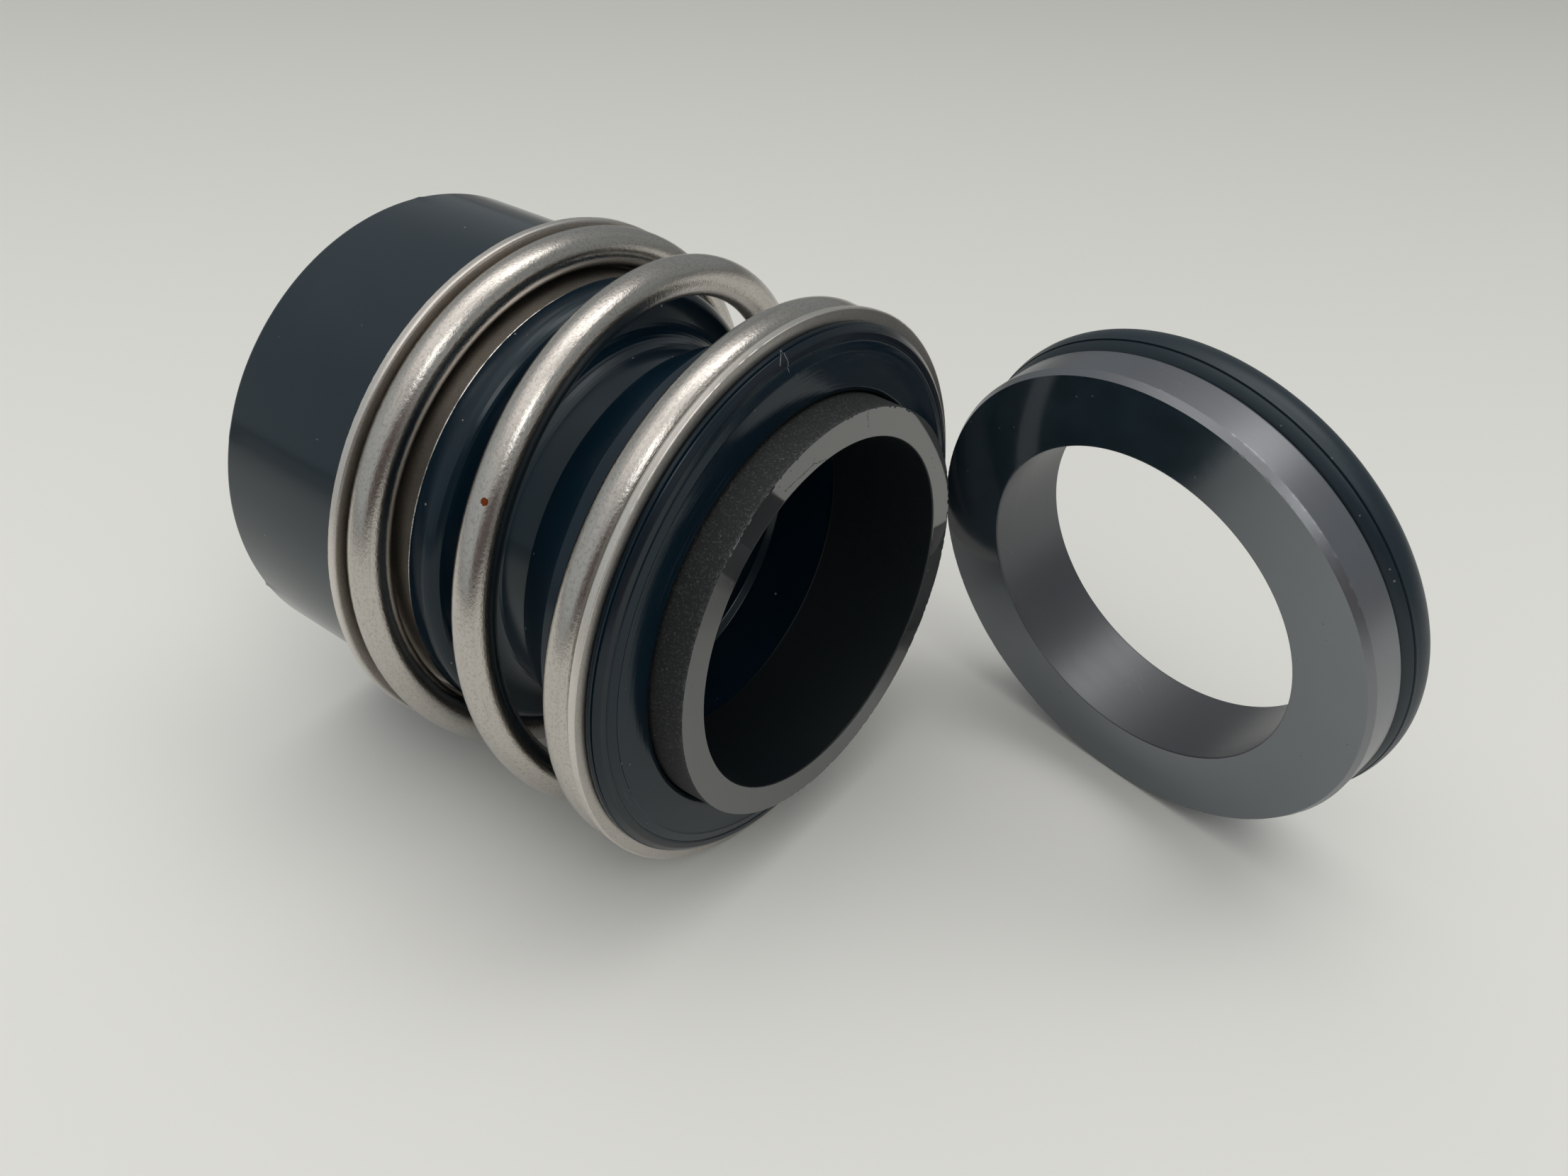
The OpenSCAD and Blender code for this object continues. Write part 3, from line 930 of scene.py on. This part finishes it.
class SEAL_OT_bellows(bpy.types.Operator):
    """Rubber bellows: tail, beads, folding neck, front body and collar in one moulding."""

    bl_idname = "seal.bellows"
    bl_label = "Rubber Bellows"

    def execute(self, context):
        size = in_mm(context.scene.seal_rubber)
        steel = in_mm(context.scene.seal_steel)
        body = reach("rubber_bellows", HEAD)
        ring = reach("face_ring", HEAD)
        front = reach("front_retainer", HEAD)
        tail = reach("tail_retainer", HEAD)
        gap = 0.1
        waist = front.inner - gap
        bead = front.inner + steel.sheet_t + size.bead_lip
        neck_bore = body.inner + size.neck_clearance
        neck = neck_bore + size.neck_wall
        tail_r = tail.outer - size.tail_inset
        grip = body.tail + size.grip_len
        front_bead = front.tail - size.front_bead_len
        shoulder = front_bead - size.cone_len
        tail_bead = tail.front + size.tail_bead_len
        collar_r = front.outer - size.collar_inset
        body_bore = neck_bore + size.neck_wall / 2
        bm = bmesh.new()
        outline(bm, [
            (body.tail, body.inner, size.edge),
            (body.tail, tail_r, size.edge),
            (tail.tail, tail_r, size.root),
            (tail.tail, waist - steel.bend_r, size.root),
            (tail.tail + steel.sheet_t + steel.bend_r, waist, size.root),
            (tail.front, waist, size.root),
            (tail.front, bead, size.edge),
            (tail_bead, bead, size.bead_round),
            (tail_bead + size.flare_len, neck, size.flare_round),
            (shoulder, neck, size.root),
            (shoulder, neck + size.shoulder_step, size.edge),
            (front_bead, waist, size.bead_round),
            (front_bead + gap, bead, size.edge),
            (front.tail, bead, size.edge),
            (front.tail, waist, size.root),
            (front.front - steel.sheet_t - steel.bend_r, waist, size.root),
            (front.front, waist - steel.bend_r, size.root),
            *self.collar(size, front.front, collar_r, body.front, ring.outer + gap),
            (ring.tail, ring.outer + gap, size.root),
            (ring.tail, body_bore, size.root),
            (shoulder + size.root, body_bore, size.root),
            (shoulder - size.edge, neck_bore, size.edge),
            (grip + size.edge, neck_bore, size.edge),
            (grip, body.inner, size.edge),
        ])
        hold_corners(bm, 2.4)
        turn_round(bm, BELLOWS_TURN)
        wobble(bm, 0.03, 8.0)
        for degrees, reach_mm, push in TAIL_NIBS:
            dent(bm, round_place(body.tail, tail_r, degrees), reach_mm, push)
        rubber = rubber_finish(tail.tail, front.front + size.band_len, collar_r - size.crest_w)
        piece = finish_mesh(bm, "bellows_moulding", HEAD, [rubber])
        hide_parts("rubber_bellows")
        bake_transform(piece, TAIL_BODY, FACE_BODY, start=(tail_bead * MM, 0, 0), end=(front_bead * MM, 0, 0))
        return {"FINISHED"}

    def collar(self, size, flange, outer, lip, bore):
        """The collar's outline: band, crease, rounded crest, ridge and the slope to its lip."""
        crease = flange + size.band_len
        crest = crease + size.band_len
        crest_r = outer - size.crest_w
        ridge = crest + size.crease
        ridge_r = crest_r - size.ridge_w
        nick = size.crease / 3
        return [
            (flange, outer, size.root),
            (crease - nick, outer, nick / 2),
            (crease, outer - size.crease, nick / 3),
            (crease + nick, outer - nick, nick),
            (crest, outer - size.crest_w / 2, size.edge),
            (crest + nick, crest_r, nick),
            (crest, crest_r - nick, nick / 3),
            (crest + nick, crest_r - 2 * nick, nick),
            (ridge, ridge_r, nick),
            (ridge - nick / 2, ridge_r - nick, nick / 3),
            (lip, bore + size.lip_round, 2 * size.lip_round),
            (lip - size.lip_round, bore, size.lip_round),
        ]


# The stage

EYE = Vector((0.04997, -0.0695, 0.07054))
SIGHT = Vector((-0.4847, 0.6171, -0.6199))
AWAY = Vector((-0.50, 0.866, 0))
# Brightness of the room against the height that light comes from, 1.0 being straight up
ROOM_LIGHT = ((0.0, 0.12), (0.03, 0.38), (0.50, 0.42), (0.68, 0.50),
              (0.77, 0.64), (0.86, 1.05), (0.91, 1.18), (1.0, 1.35))
# Soft lamps by azimuth, height, reach of the full and of the fading light (degrees) and brightness
LAMPS = ((-22, 48, 6, 14, 2.3), (58, 60, 7, 16, 1.9), (105, 79, 7, 16, 0.9))
# Azimuth and height of the shaded side behind the camera, and of the side with the window
WATCHER = (-40, 2)
WATCHER_SHADE = 0.28
WINDOW_SIDE = (-100, 0)
# Share by which the far sheet is darker in reflections
SHEET_DIMMING = 0.48
# Brightness of the backdrop past the sheet, which meets that of the far floor
BACKDROP = 0.885


def direction(azimuth, height):
    """Unit vector from the azimuth off +X and the height over the floor, in degrees."""
    az, el = math.radians(azimuth), math.radians(height)
    return Vector((math.cos(el) * math.cos(az), math.cos(el) * math.sin(az), math.sin(el)))


class SEAL_OT_stage(bpy.types.Operator):
    """Pale sheet, soft light of the room and the camera."""

    bl_idname = "seal.stage"
    bl_label = "Stage"

    def execute(self, context):
        scene = context.scene
        setup = scene.seal_stage
        camera = bpy.data.objects.new("camera", bpy.data.cameras.new("camera"))
        camera.data.lens = setup.lens
        camera.data.clip_start = 0.001
        camera.location = EYE
        camera.rotation_euler = SIGHT.to_track_quat("-Z", "Y").to_euler()
        scene.collection.objects.link(camera)
        scene.camera = camera
        scene.view_settings.view_transform = "Standard"
        self.floor(setup)
        self.room(scene, setup)
        return {"FINISHED"}

    def floor(self, setup):
        """The sheet: pale, greyer away from the camera, and darker past its lit middle."""
        m = Nodes(bpy.data.materials.new("pale_sheet"))
        co = m.place()
        away = m.add("VectorMath", "Value", settings={"operation": "DOT_PRODUCT"}, i0=co, i1=AWAY)
        out = m.add("VectorMath", "Value", settings={"operation": "LENGTH"}, i0=co)
        seen = m.add("LightPath", "Is Camera Ray")
        far = m.most(m.spread(away, 0.02, 0.30), m.math("MULTIPLY", m.spread(out, 0.35, 1.0), seen))
        lit = m.blend(far, setup.floor, setup.far_floor)
        dim = m.math("MULTIPLY", m.spread(out, 0.18, 0.45), m.math("SUBTRACT", 1.0, seen))
        m.set(Base_Color=m.blend(m.math("MULTIPLY", dim, SHEET_DIMMING), lit, (0.0, 0.0, 0.0)),
              Roughness=0.9, Specular_IOR_Level=0.2)
        bm = bmesh.new()
        low = Matrix.Translation((0, 0, cad_box[0][2] / MM))
        bmesh.ops.create_grid(bm, x_segments=2, y_segments=2, size=setup.floor_size / 2 / MM, matrix=low)
        finish_mesh(bm, "pale_floor", HEAD, [m.owner])

    def room(self, scene, setup):
        """Soft light: bright above, dimmer at the walls, and shaded behind the camera."""
        scene.world = bpy.data.worlds.new("room")
        m = Nodes(scene.world, "Background")
        way = m.add("TexCoord", "Generated")
        height = m.part(way, "Z")
        low = m.spread(height, 0.65, 0.85, 1.0, 0.0)
        side = m.spread(m.toward(way, *WINDOW_SIDE), -0.7, 0.7, -0.20, 0.30)
        light = m.math("MULTIPLY", m.steps(height, ROOM_LIGHT), m.math("MULTIPLY_ADD", low, side, 1.0))
        for azimuth, up, full, fading, bright in LAMPS:
            lamp = m.spread(m.toward(way, azimuth, up), math.cos(math.radians(fading)),
                            math.cos(math.radians(full)), 0.0, bright)
            light = m.math("ADD", light, lamp)
        tint = m.blend(m.spread(height, 0.5, 0.8), setup.walls, setup.ceiling)
        shaded = m.spread(m.toward(way, *WATCHER), 0.80, 0.93)
        seen = m.add("LightPath", "Is Camera Ray")
        room = m.blend(shaded, tint, setup.watcher)
        strength = m.math("MULTIPLY", light, m.spread(shaded, 0.0, 1.0, 1.0, WATCHER_SHADE))
        m.set(Color=m.blend(seen, room, setup.far_floor),
              Strength=m.most(m.math("MULTIPLY", strength, m.math("SUBTRACT", 1.0, seen)),
                              m.math("MULTIPLY", seen, BACKDROP)))


class SEAL_PT_pieces(bpy.types.Panel):
    """Lists the pieces of the seal."""

    bl_label = "Rubber Bellows Seal"
    bl_idname = "SEAL_PT_pieces"
    bl_space_type = "VIEW_3D"
    bl_region_type = "UI"
    bl_category = "Seal"

    def draw(self, context):
        for operator in OPERATORS:
            self.layout.operator(operator.bl_idname, text=operator.bl_label)
        for name, group in GROUPS.items():
            box = self.layout.box()
            box.label(text=group.__doc__)
            for field in group.__annotations__:
                box.prop(getattr(context.scene, name), field)


OPERATORS = (
    SEAL_OT_stage,
    SEAL_OT_face_ring,
    SEAL_OT_retainers,
    SEAL_OT_spring,
    SEAL_OT_bellows,
    SEAL_OT_seat,
    SEAL_OT_seat_ring,
)


def register():
    for cls in (*GROUPS.values(), *OPERATORS, SEAL_PT_pieces):
        bpy.utils.register_class(cls)
    for name, group in GROUPS.items():
        setattr(bpy.types.Scene, name, PointerProperty(type=group))


def unregister():
    for name in GROUPS:
        delattr(bpy.types.Scene, name)
    for cls in reversed((*GROUPS.values(), *OPERATORS, SEAL_PT_pieces)):
        bpy.utils.unregister_class(cls)


def main():
    register()
    bpy.ops.seal.stage()
    bpy.ops.seal.face_ring()
    bpy.ops.seal.retainers()
    bpy.ops.seal.spring()
    bpy.ops.seal.bellows()
    bpy.ops.seal.seat()
    bpy.ops.seal.seat_ring()


if __name__ == "__main__":
    main()
